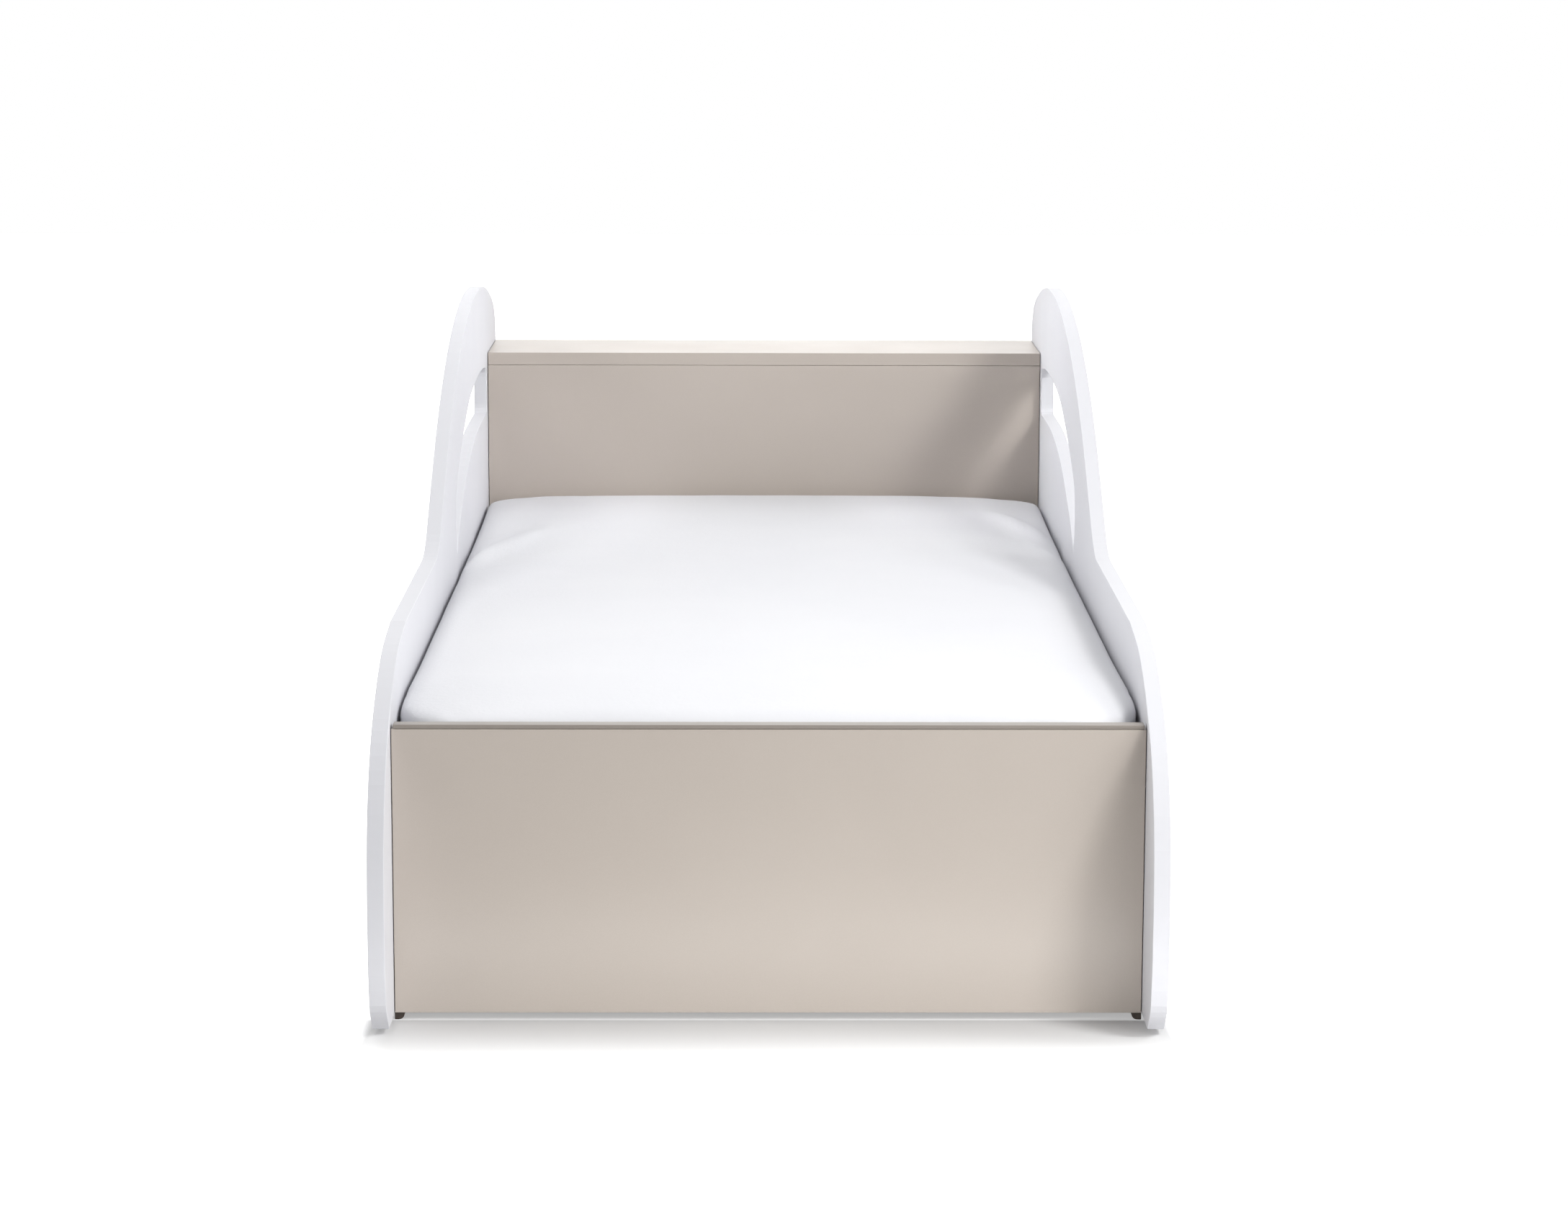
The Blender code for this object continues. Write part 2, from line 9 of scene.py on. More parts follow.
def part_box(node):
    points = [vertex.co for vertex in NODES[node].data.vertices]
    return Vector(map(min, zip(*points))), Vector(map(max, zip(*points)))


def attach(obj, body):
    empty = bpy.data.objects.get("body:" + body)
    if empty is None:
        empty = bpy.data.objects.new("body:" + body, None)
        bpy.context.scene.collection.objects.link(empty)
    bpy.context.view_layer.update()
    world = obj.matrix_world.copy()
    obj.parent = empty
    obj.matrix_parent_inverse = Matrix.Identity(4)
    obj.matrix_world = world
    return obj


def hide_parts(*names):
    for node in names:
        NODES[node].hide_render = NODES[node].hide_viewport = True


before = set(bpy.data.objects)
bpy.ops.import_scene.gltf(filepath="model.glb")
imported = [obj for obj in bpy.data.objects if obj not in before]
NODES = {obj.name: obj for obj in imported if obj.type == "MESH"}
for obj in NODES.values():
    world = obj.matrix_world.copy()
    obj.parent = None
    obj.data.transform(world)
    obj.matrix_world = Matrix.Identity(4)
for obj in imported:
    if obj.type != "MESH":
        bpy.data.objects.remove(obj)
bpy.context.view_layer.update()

SHEET_LOW, SHEET_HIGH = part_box("fitted_sheet")
CORE_LOW, CORE_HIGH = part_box("mattress_core")


# ---------------------------------------------------------------- materials

class Nodes:
    """A short way to write a node tree round one Principled shader."""

    def __init__(self, name):
        self.material = bpy.data.materials.new(name)
        self.material.use_nodes = True
        self.tree = self.material.node_tree
        self.shader = self.tree.nodes["Principled BSDF"]
        self.coords = self.add("ShaderNodeTexCoord").outputs["Object"]

    def add(self, kind, **settings):
        node = self.tree.nodes.new(kind)
        for key, value in settings.items():
            setattr(node, key, value)
        return node

    def put(self, value, socket):
        if isinstance(value, bpy.types.NodeSocket):
            self.tree.links.new(value, socket)
        elif isinstance(value, (tuple, list)) and len(value) == 3 and socket.type == "RGBA":
            socket.default_value = (*value, 1.0)
        else:
            socket.default_value = value

    def set(self, **sockets):
        for key, value in sockets.items():
            self.put(value, self.shader.inputs[key.replace("_", " ")])

    def scaled(self, scale, offset=(0, 0, 0), turn=(0, 0, 0)):
        node = self.add("ShaderNodeMapping")
        self.put(self.coords, node.inputs["Vector"])
        node.inputs["Scale"].default_value = scale
        node.inputs["Location"].default_value = offset
        node.inputs["Rotation"].default_value = turn
        return node.outputs["Vector"]

    def noise(self, scale, detail=2.0, rough=0.5, vector=None, distortion=0.0):
        node = self.add("ShaderNodeTexNoise")
        self.put(vector or self.coords, node.inputs["Vector"])
        node.inputs["Scale"].default_value = scale
        node.inputs["Detail"].default_value = detail
        node.inputs["Roughness"].default_value = rough
        node.inputs["Distortion"].default_value = distortion
        return node.outputs["Fac"]

    def wave(self, scale, vector=None, direction="X", distortion=0.0, detail=2.0, detail_scale=1.0):
        node = self.add("ShaderNodeTexWave", wave_type="BANDS", bands_direction=direction)
        self.put(vector or self.coords, node.inputs["Vector"])
        node.inputs["Scale"].default_value = scale
        node.inputs["Distortion"].default_value = distortion
        node.inputs["Detail"].default_value = detail
        node.inputs["Detail Scale"].default_value = detail_scale
        return node.outputs["Fac"]

    def math(self, operation, a, b=0.0, clamp=False):
        node = self.add("ShaderNodeMath", operation=operation, use_clamp=clamp)
        self.put(a, node.inputs[0])
        self.put(b, node.inputs[1])
        return node.outputs[0]

    def span(self, value, low, high, to_low=0.0, to_high=1.0):
        node = self.add("ShaderNodeMapRange")
        self.put(value, node.inputs["Value"])
        for key, number in (("From Min", low), ("From Max", high), ("To Min", to_low), ("To Max", to_high)):
            node.inputs[key].default_value = number
        return node.outputs["Result"]

    def mix(self, fac, a, b, blend="MIX"):
        node = self.add("ShaderNodeMix", data_type="RGBA", blend_type=blend)
        self.put(fac, node.inputs["Factor"])
        self.put(a, node.inputs[6])
        self.put(b, node.inputs[7])
        return node.outputs[2]

    def ramp(self, value, stops):
        node = self.add("ShaderNodeValToRGB")
        self.put(value, node.inputs["Fac"])
        ramp = node.color_ramp
        while len(ramp.elements) < len(stops):
            ramp.elements.new(0.5)
        for element, (place, colour) in zip(ramp.elements, stops):
            element.position = place
            element.color = (*colour, 1.0)
        return node.outputs["Color"]

    def bump(self, height, strength, distance, under=None):
        node = self.add("ShaderNodeBump")
        self.put(height, node.inputs["Height"])
        node.inputs["Strength"].default_value = strength
        node.inputs["Distance"].default_value = distance
        if under:
            self.put(under, node.inputs["Normal"])
        return node.outputs["Normal"]

    def arris(self, radius, low=0.02, high=0.30):
        """1 along the edges of a board and 0 on its faces."""
        bevel = self.add("ShaderNodeBevel", samples=4)
        bevel.inputs["Radius"].default_value = radius
        geometry = self.add("ShaderNodeNewGeometry")
        dot = self.add("ShaderNodeVectorMath", operation="DOT_PRODUCT")
        self.put(bevel.outputs["Normal"], dot.inputs[0])
        self.put(geometry.outputs["True Normal"], dot.inputs[1])
        return self.span(self.math("SUBTRACT", 1.0, dot.outputs["Value"]), low, high)


def lacquer_white():
    """Sprayed satin white: a faint orange peel, slow drifts in tone, and a painted highlight along its
    edges, in patches like wear.
    """
    m = Nodes("lacquer_white")
    drift = m.noise(2.3, 3.0, 0.5)
    tone = m.ramp(drift, [(0.30, (0.660, 0.662, 0.694)), (0.72, (0.685, 0.687, 0.715))])
    # Painted highlight: the colour is lightened along the edges, in patches like wear
    edge = m.math("MULTIPLY", m.arris(0.0022), m.span(m.noise(38.0, 4.0, 0.7), 0.42, 0.75, 0.0, 0.30))
    m.set(Base_Color=m.mix(edge, tone, (0.70, 0.69, 0.68)))
    m.set(Roughness=m.span(m.noise(11.0, 4.0, 0.6), 0.3, 0.7, 0.56, 0.66))
    peel = m.noise(330.0, 2.0, 0.45)
    waves = m.noise(26.0, 2.0, 0.5)
    m.set(Normal=m.bump(peel, 0.10, 0.0002, m.bump(waves, 0.05, 0.0006)))
    m.set(Specular_IOR_Level=0.20)
    return m.material


def lacquer_taupe(name, shade_factor, specular, coat):
    """Satin taupe: the same spray, with a fine pigment speckle. The second argument, under 1, darkens the
    whole colour as painted shade.
    """
    m = Nodes(name)

    def shade(*colour):
        return tuple(c * shade_factor for c in colour)

    drift = m.noise(3.1, 3.0, 0.55)
    tone = m.ramp(drift, [(0.30, shade(0.486, 0.432, 0.384)), (0.74, shade(0.518, 0.464, 0.415))])
    fleck = m.span(m.noise(1150.0, 1.0, 0.5), 0.35, 0.68, 0.0, 0.16)
    tone = m.mix(fleck, tone, shade(0.56, 0.51, 0.46))
    # Painted highlight: the colour is lightened along the edges, in patches like wear
    edge = m.math("MULTIPLY", m.arris(0.0012), m.span(m.noise(55.0, 4.0, 0.7), 0.40, 0.72, 0.05, 0.40))
    m.set(Base_Color=m.mix(edge, tone, shade(0.60, 0.55, 0.50)))
    m.set(Roughness=m.span(m.noise(9.0, 4.0, 0.6), 0.3, 0.7, 0.30, 0.38))
    peel = m.noise(300.0, 2.0, 0.45)
    waves = m.noise(17.0, 2.0, 0.5)
    m.set(Normal=m.bump(peel, 0.10, 0.0002, m.bump(waves, 0.06, 0.0008)))
    m.set(Specular_IOR_Level=specular, Coat_Weight=coat, Coat_Roughness=0.30)
    return m.material


def wood(name, along, pale, mid, dark, plies):
    """Planed wood with its grain along X or Y, and glue lines on the edges of plywood."""
    m = Nodes(name)
    stretch = (2.2, 34.0, 34.0) if along == "X" else (34.0, 2.2, 34.0)
    fibres = (9.0, 620.0, 620.0) if along == "X" else (620.0, 9.0, 620.0)
    across = "Y" if along == "X" else "X"
    bands = m.wave(0.9, m.scaled(stretch), across, 9.0, 3.0, 0.8)
    figure = m.noise(1.0, 4.0, 0.6, m.scaled(stretch, (3.1, 1.7, 0.4)))
    fibre = m.noise(1.0, 3.0, 0.7, m.scaled(fibres))
    mixed = m.math("ADD", m.math("MULTIPLY", bands, 0.45), m.math("MULTIPLY", figure, 0.55))
    tone = m.ramp(mixed, [(0.18, dark), (0.46, mid), (0.80, pale)])
    tone = m.mix(m.span(fibre, 0.35, 0.75, 0.0, 0.35), tone, dark)
    if plies:
        geometry = m.add("ShaderNodeNewGeometry")
        facing = m.add("ShaderNodeSeparateXYZ")
        m.put(geometry.outputs["True Normal"], facing.inputs[0])
        upright = m.math("SUBTRACT", 1.0, m.math("ABSOLUTE", facing.outputs["Z"]))
        layers = m.wave(78.0, None, "Z", 0.6, 2.0, 4.0)
        lines = m.math("MULTIPLY", m.span(layers, 0.62, 0.92), m.span(upright, 0.4, 0.6))
        tone = m.mix(m.math("MULTIPLY", lines, 0.62), tone, tuple(c * 0.42 for c in dark))
    # Painted highlight: the colour is lightened evenly along every edge
    edge = m.math("MULTIPLY", m.arris(0.0012), 0.22)
    m.set(Base_Color=m.mix(edge, tone, tuple(min(1.0, c * 1.15) for c in pale)))
    m.set(Roughness=m.span(fibre, 0.3, 0.8, 0.48, 0.66))
    m.set(Normal=m.bump(fibre, 0.22, 0.0003, m.bump(bands, 0.06, 0.0006)))
    return m.material


def moulded_brown():
    """Dark brown glide plastic with a spark-eroded grain, and a painted highlight along its edges, in
    patches like scuffs.
    """
    m = Nodes("glide_brown")
    grain = m.noise(900.0, 3.0, 0.6)
    # Painted highlight: the colour is lightened along the edges, in patches like scuffs
    edge = m.math("MULTIPLY", m.arris(0.0010), m.span(m.noise(180.0, 3.0, 0.7), 0.4, 0.7, 0.1, 0.7))
    tone = m.ramp(m.noise(60.0, 3.0, 0.5), [(0.3, (0.038, 0.026, 0.019)), (0.7, (0.052, 0.037, 0.028))])
    m.set(Base_Color=m.mix(edge, tone, (0.11, 0.085, 0.07)))
    m.set(Roughness=m.span(grain, 0.3, 0.7, 0.42, 0.58))
    m.set(Normal=m.bump(grain, 0.30, 0.0002))
    return m.material


def metal(name, pale, dark, grain, rough_low, rough_high):
    """Plated or cast metal with a fine grain and dulled patches."""
    m = Nodes(name)
    patch = m.noise(140.0, 4.0, 0.6)
    fine = m.noise(1.0, 2.0, 0.5, m.scaled(grain))
    m.set(Base_Color=m.ramp(patch, [(0.25, dark), (0.70, pale)]))
    m.set(Roughness=m.span(fine, 0.3, 0.7, rough_low, rough_high))
    m.set(Normal=m.bump(fine, 0.25, 0.0001), Metallic=1.0)
    return m.material


def brushed_cotton():
    """White cotton jersey, lightly raised: fine ribs one way, a soft nap over them."""
    m = Nodes("cotton_jersey")
    ribs = m.wave(430.0, None, "X", 2.2, 2.0, 2.0)
    rows = m.wave(300.0, None, "Y", 2.6, 2.0, 2.0)
    knit = m.math("ADD", m.math("MULTIPLY", ribs, 0.6), m.math("MULTIPLY", rows, 0.4))
    nap = m.noise(480.0, 4.0, 0.75)
    pills = m.noise(210.0, 3.0, 0.6)
    slub = m.noise(46.0, 3.0, 0.6)
    tone = m.ramp(m.noise(5.0, 3.0, 0.5), [(0.3, (0.744, 0.748, 0.776)), (0.7, (0.768, 0.771, 0.794))])
    tone = m.mix(m.span(nap, 0.30, 0.72, 0.0, 0.10), tone, (0.72, 0.72, 0.75))
    m.set(Base_Color=tone)
    m.set(Roughness=m.span(nap, 0.3, 0.7, 0.86, 0.98))
    base = m.bump(pills, 0.30, 0.0009, m.bump(slub, 0.16, 0.0014))
    base = m.bump(nap, 0.55, 0.0005, base)
    m.set(Normal=m.bump(knit, 0.25, 0.0003, base))
    m.set(Sheen_Weight=0.22, Sheen_Roughness=0.45, Specular_IOR_Level=0.18)
    m.shader.inputs["Sheen Tint"].default_value = (1.0, 1.0, 1.0, 1.0)
    return m.material


def ticking():
    """Cream mattress ticking: twill ribs and slow stains of shade."""
    m = Nodes("mattress_ticking")
    twill = m.wave(520.0, m.scaled((1, 1, 1), (0, 0, 0), (0, 0, math.radians(38))), "X", 0.5, 1.0, 2.0)
    slub = m.noise(90.0, 4.0, 0.65)
    tone = m.ramp(m.noise(6.0, 3.0, 0.5), [(0.3, (0.74, 0.71, 0.63)), (0.7, (0.80, 0.775, 0.70))])
    m.set(Base_Color=m.mix(m.span(twill, 0.2, 0.9, 0.0, 0.16), tone, (0.60, 0.56, 0.47)))
    m.set(Roughness=m.span(slub, 0.3, 0.7, 0.82, 0.95))
    m.set(Normal=m.bump(twill, 0.30, 0.0003, m.bump(slub, 0.22, 0.0008)))
    m.set(Sheen_Weight=0.10, Specular_IOR_Level=0.2)
    return m.material


# How strongly the white sweep glows, which paints the shade round the bed: dim at the bed's foot,
# a painted light under its front edge, bright away from it, and what its bounce gives
GLOW_NEAR = 0.03
GLOW_UNDER = 0.36
GLOW_AWAY = 0.90
GLOW_BOUNCE = 0.02
# The bed's footprint, and how far the painted shadow reaches beyond its ends and its sides
FOOT_END, HEAD_END, SIDE = 0.756, 0.835, 0.376
SHADOW_ENDS, SHADOW_SIDES, SHADOW_EDGE = 0.25, 0.020, 0.004


def floor_material():
    """A white sweep, lit from within: dim next to the bed, which paints a soft shadow round it, brighter
    under the footboard's front edge, which paints light there, and bright away from the bed, so that it
    reads as plain white.
    """
    m = Nodes("studio_floor")
    tone = m.ramp(m.noise(1.4, 2.0, 0.5), [(0.3, (0.62, 0.62, 0.62)), (0.7, (0.63, 0.63, 0.63))])
    m.set(Base_Color=tone, Roughness=0.85, Specular_IOR_Level=0.1)
    spot = m.add("ShaderNodeSeparateXYZ")
    m.put(m.coords, spot.inputs[0])
    ahead = m.math("SUBTRACT", m.math("MULTIPLY", spot.outputs["Y"], -1.0), FOOT_END)
    behind = m.math("SUBTRACT", spot.outputs["Y"], HEAD_END)
    aside = m.math("SUBTRACT", m.math("ABSOLUTE", spot.outputs["X"]), SIDE)
    ends = m.span(m.math("MAXIMUM", ahead, behind), 0.0, SHADOW_ENDS)
    sides = m.span(aside, 0.0, SHADOW_SIDES)
    # Painted light: the floor just under the footboard's front edge glows brighter
    under = m.span(ahead, SHADOW_EDGE, -SHADOW_EDGE)
    for soft in (ends, sides, under):
        soft.node.interpolation_type = "SMOOTHSTEP"
    # Painted shadow: the glow is low next to the bed and rises away from it
    glow = m.span(m.math("MAXIMUM", ends, sides), 0.0, 1.0, GLOW_NEAR, GLOW_AWAY)
    glow = m.math("ADD", glow, m.math("MULTIPLY", under, GLOW_UNDER))
    seen = m.add("ShaderNodeLightPath").outputs["Is Camera Ray"]
    m.set(Emission_Color=(1.0, 1.0, 1.0))
    m.set(Emission_Strength=m.math("ADD", m.math("MULTIPLY", glow, seen),
                                   m.math("MULTIPLY", m.math("SUBTRACT", 1.0, seen), GLOW_BOUNCE)))
    return m.material


WHITE = lacquer_white()
TAUPE = lacquer_taupe("lacquer_taupe", 1.0, 0.5, 0.10)
# Painted shade: the footboard's edge strip takes a darker copy of the taupe lacquer
EDGE_BAND = lacquer_taupe("edge_band", 0.56, 0.25, 0.0)
BIRCH = wood("birch_ply", "X", (0.74, 0.585, 0.40), (0.66, 0.49, 0.31), (0.50, 0.34, 0.20), True)
PINE = wood("planed_pine", "Y", (0.76, 0.60, 0.39), (0.68, 0.50, 0.29), (0.48, 0.30, 0.15), False)
BROWN = moulded_brown()
ZINC = metal("cast_zinc", (0.60, 0.60, 0.61), (0.42, 0.42, 0.43), (700, 700, 700), 0.32, 0.52)
STEEL = metal("plated_steel", (0.74, 0.74, 0.75), (0.55, 0.55, 0.57), (2400, 260, 260), 0.20, 0.36)
COTTON = brushed_cotton()
TICK = ticking()

# Which CAD nodes, by the start of their names, take which finish
FINISHES = (("side_panel", WHITE), ("footboard_panel", TAUPE), ("footboard_edge_strip", EDGE_BAND),
            ("headboard", TAUPE), ("slat", BIRCH), ("base_rail", PINE), ("glide", BROWN),
            ("cam_lock", ZINC), ("cam_bolt", STEEL), ("rail_screw", STEEL))
# Edges bent less than this are one curve, and are shaded smooth
CURVE_LIMIT = math.radians(35)


def smooth_by_angle(limit):
    """A node group that shades smooth across any edge bent less than limit, and sharp elsewhere."""
    group = bpy.data.node_groups.new("smooth_by_angle", "GeometryNodeTree")
    group.interface.new_socket("Geometry", in_out="INPUT", socket_type="NodeSocketGeometry")
    group.interface.new_socket("Geometry", in_out="OUTPUT", socket_type="NodeSocketGeometry")
    source = group.nodes.new("NodeGroupInput")
    result = group.nodes.new("NodeGroupOutput")
    bend = group.nodes.new("GeometryNodeInputMeshEdgeAngle")
    gentle = group.nodes.new("FunctionNodeCompare")
    gentle.data_type = "FLOAT"
    gentle.operation = "LESS_THAN"
    gentle.inputs["B"].default_value = limit
    edges = group.nodes.new("GeometryNodeSetShadeSmooth")
    edges.domain = "EDGE"
    faces = group.nodes.new("GeometryNodeSetShadeSmooth")
    faces.domain = "FACE"
    group.links.new(bend.outputs["Unsigned Angle"], gentle.inputs["A"])
    group.links.new(source.outputs[0], edges.inputs["Geometry"])
    group.links.new(gentle.outputs["Result"], edges.inputs["Shade Smooth"])
    group.links.new(edges.outputs["Geometry"], faces.inputs["Geometry"])
    group.links.new(faces.outputs["Geometry"], result.inputs[0])
    return group


def dress_frame():
    """Gives every carried-over CAD node its worked finish, and shades its curved edges smooth."""
    group = smooth_by_angle(CURVE_LIMIT)
    for name, node in NODES.items():
        node.modifiers.new("smooth_by_angle", "NODES").node_group = group
        for start, material in FINISHES:
            if name.startswith(start):
                for i in range(max(1, len(node.material_slots))):
                    if node.material_slots:
                        node.material_slots[i].material = material
                    else:
                        node.data.materials.append(material)


# ---------------------------------------------------------------- mattress and sheet

# The cover's corners in plan, its top and bottom arrises, and its hem turned in underneath
HEAD_CORNER = 0.050
FOOT_CORNER = 0.072
TOP_ROUND = 0.008
FOOT_ROUND = 0.011
HEM = 0.052
# How far the cover stands off its CAD box on each side, and its top below the box's
COVER_OUT = 0.0026
COVER_IN = 0.0015
COVER_SUNK = 0.0040
COVER_WALL = 0.0038
COVER_CLOTH = 0.0010
# Even mesh sizes for the cover and for the pad in it
COVER_VOXEL = 0.0065
PAD_VOXEL = 0.014
# The cover swelled as cloth: pressure, frames and the furthest that a point may move
SWELL_PRESSURE = 0.9
SWELL_FRAMES = 18
SWELL_MOST = 0.0045
# Crown over the middle, rise towards the head and droop over the foot
CROWN = 0.0050
HEAD_RISE = 0.0030
FOOT_DROOP = 0.0100
# The elastic's gathers, its half width and its half height
GATHER = 0.017
ELASTIC_WIDE = 0.0036
ELASTIC_HIGH = 0.0017
# The pad's quilting: the distance between channels, and their depth
QUILT = 0.075
QUILT_DEEP = 0.0036


def place(name, mesh, material):
    item = bpy.data.objects.new(name, mesh)
    bpy.context.scene.collection.objects.link(item)
    mesh.materials.clear()
    mesh.materials.append(material)
    return item


def slab(low, high, inward, top_round, foot_round, steps=10, arc=12):
    """A closed mattress-shaped slab as bmesh: rounded in plan, with rounded top and bottom arrises.
    inward is how far it lies inside the cover, and makes its corners that much tighter."""
    bm = bmesh.new()
    half = (high - low) / 2
    centre = (high + low) / 2
    rings = []
    for radius, level, start in ((foot_round, low.z + foot_round, 3), (top_round, high.z - top_round, 0)):
        for s in range(arc + 1):
            a = math.pi / 2 * (start + s / arc)
            rings.append((radius - radius * math.cos(a), level + radius * math.sin(a)))
    rows = []
    for inset, z in rings:
        row = []
        for turn_, (sx, sy) in enumerate(((1, 1), (-1, 1), (-1, -1), (1, -1))):
            r = max((HEAD_CORNER if sy > 0 else FOOT_CORNER) - inward - inset, 0.006)
            for s in range(steps + 1):
                a = math.pi / 2 * (turn_ + s / steps)
                row.append(bm.verts.new((centre.x + sx * (half.x - inset - r) + r * math.cos(a),
                                         centre.y + sy * (half.y - inset - r) + r * math.sin(a), z)))
        rows.append(row)
    for lower, upper in zip(rows, rows[1:]):
        for s in range(len(lower)):
            bm.faces.new((lower[s - 1], lower[s], upper[s], upper[s - 1]))
    bm.faces.new(rows[0])
    bm.faces.new(rows[-1])
    bmesh.ops.recalc_face_normals(bm, faces=bm.faces)
    return bm


def evaluated_mesh(item):
    """The mesh with its modifiers applied."""
    graph = bpy.context.evaluated_depsgraph_get()
    return bpy.data.meshes.new_from_object(item.evaluated_get(graph), depsgraph=graph)


def points_of(mesh):
    co = np.zeros(len(mesh.vertices) * 3)
    mesh.vertices.foreach_get("co", co)
    return co.reshape(-1, 3)


def set_points(mesh, points):
    mesh.vertices.foreach_set("co", points.astype(np.float32).ravel())
    mesh.update()


def remeshed(item, size):
    """Even quads all over the piece."""
    mod = item.modifiers.new("even", "REMESH")
    mod.mode = "VOXEL"
    mod.voxel_size = size
    mod.adaptivity = 0.0
    mesh = evaluated_mesh(item)
    item.modifiers.clear()
    item.data = mesh
    return item


def inflate(item, pressure, frames, cap):
    """Lets the cover swell over its filling as cloth, and holds each point to a short way."""
    before = points_of(item.data)
    mod = item.modifiers.new("swell", "CLOTH")
    cloth = mod.settings
    cloth.quality = 4
    cloth.mass = 0.25
    cloth.tension_stiffness = 12.0
    cloth.compression_stiffness = 9.0
    cloth.shear_stiffness = 4.0
    cloth.bending_stiffness = 0.6
    cloth.shrink_min = -0.012
    cloth.use_pressure = True
    cloth.uniform_pressure_force = pressure
    cloth.effector_weights.gravity = 0.0
    mod.collision_settings.use_collision = False
    mod.collision_settings.use_self_collision = False
    mod.point_cache.frame_start = 1
    mod.point_cache.frame_end = frames
    for number in range(1, frames + 1):
        bpy.context.scene.frame_set(number)
    mesh = evaluated_mesh(item)
    item.modifiers.clear()
    item.data = mesh
    bpy.context.scene.frame_set(1)
    moved = points_of(mesh) - before
    length = np.linalg.norm(moved, axis=1, keepdims=True) + 1e-9
    set_points(mesh, before + moved / length * (cap * np.tanh(length / cap)))
    return item


def falloff(value, low, high):
    t = np.clip((value - low) / (high - low), 0, 1)
    return t * t * (3 - 2 * t)


def ridge(points, start, end, width, height):
    """A soft fold over the top from start to end, fading out at its ends."""
    a, b = np.array(start), np.array(end)
    along = b - a
    size = np.linalg.norm(along)
    unit = along / size
    rel = points[:, :2] - a
    t = rel @ unit / size
    off = rel @ np.array((-unit[1], unit[0]))
    bell = np.exp(-(off / (width * (0.55 + 0.9 * np.clip(t, 0, 1)))) ** 2)
    fade = falloff(t, -0.08, 0.22) * (1 - falloff(t, 0.45, 1.05))
    return height * bell * fade


def shape_cover(mesh, low, high):
    """Crown, soft dips at the corners, and the pulled folds by the head corners."""
    points = points_of(mesh)
    half = (high - low) / 2
    centre = (high + low) / 2
    u = (points[:, 0] - centre.x) / half.x
    v = (points[:, 1] - centre.y) / half.y
    top = falloff(points[:, 2], high.z - 0.045, high.z - 0.012)
    crown = (1 - np.abs(u) ** 4) * (1 - np.abs(v) ** 8)
    corner = np.exp(-(((1 - np.abs(u)) / 0.16) ** 2 + ((1 - np.abs(v)) / 0.07) ** 2))
    lift = CROWN * crown + HEAD_RISE * falloff(v, 0.2, 0.9) - 0.0016 * corner
    lift -= 0.0026 * np.exp(-(((1 - u) / 0.24) ** 2 + ((1 - v) / 0.16) ** 2))
    lift -= 0.0010 * np.exp(-(((1 + u) / 0.12) ** 2)) * falloff(v, -0.7, 0.3)
    lift -= FOOT_DROOP * (1 - falloff(v, -1.0, -0.80))
    left, right = low.x + 0.008, high.x - 0.008
    # Each fold: where it starts at the edge, where it ends inwards, its width and its height
    for start, end, width, height in (
            ((left, 0.130), (-0.235, 0.400), 0.018, 0.0080),
            ((left, 0.040), (-0.230, 0.290), 0.034, -0.0042),
            ((left, 0.265), (-0.270, 0.500), 0.030, -0.0030),
            ((left, -0.140), (-0.255, 0.060), 0.040, 0.0018),
            ((right, 0.285), (0.262, 0.530), 0.017, 0.0070),
            ((right, 0.205), (0.270, 0.440), 0.028, -0.0044),
            ((right, 0.120), (0.255, 0.350), 0.030, 0.0022),
            ((right, 0.400), (0.285, 0.590), 0.026, -0.0024)):
        lift += ridge(points, start, end, width, height)
    for i, p in enumerate(points):
        if top[i] > 0:
            slow = noise.noise(Vector((p[0] * 3.1, p[1] * 2.3, 0.0)))
            fine = noise.noise(Vector((p[0] * 17.0, p[1] * 13.0, 3.0)))
            lift[i] += 0.0012 * slow + 0.00035 * fine
    points[:, 2] += lift * top
    set_points(mesh, points)


def gather_hem(points, low, high):
    """Keeps the cover between the side panels and ruffles its hem, most of all near the corners."""
    centre = (low + high) / 2
    half = (high - low) / 2
    wall = SHEET_HIGH.x + COVER_WALL
    points[:, 0] = np.clip(points[:, 0], -wall, wall)
    points[:, 1] = np.clip(points[:, 1], SHEET_LOW.y - 0.002, SHEET_HIGH.y + 0.002)
    points[:, 2] = np.maximum(points[:, 2], SHEET_LOW.z)
    inner_x = half.x - np.abs(points[:, 0] - centre.x)
    inner_y = half.y - np.abs(points[:, 1] - centre.y)
    inside = np.minimum(inner_x, inner_y)
    under = (points[:, 2] < low.z + 0.006) & (inside > 0.016)
    around = np.arctan2(points[:, 1] - centre.y, points[:, 0] - centre.x)
    run = np.where(inner_x < inner_y, points[:, 1], points[:, 0])
    near_corner = np.exp(-(np.maximum(inner_x, inner_y) / 0.16) ** 2)
    ruffle = np.sin(run * math.tau / GATHER + 3.0 * np.sin(around * 5)) * falloff(inside, 0.018, HEM)
    points[:, 2] += np.where(under, 0.0013 + 0.0012 * ruffle * (0.35 + 0.65 * near_corner), 0.0)


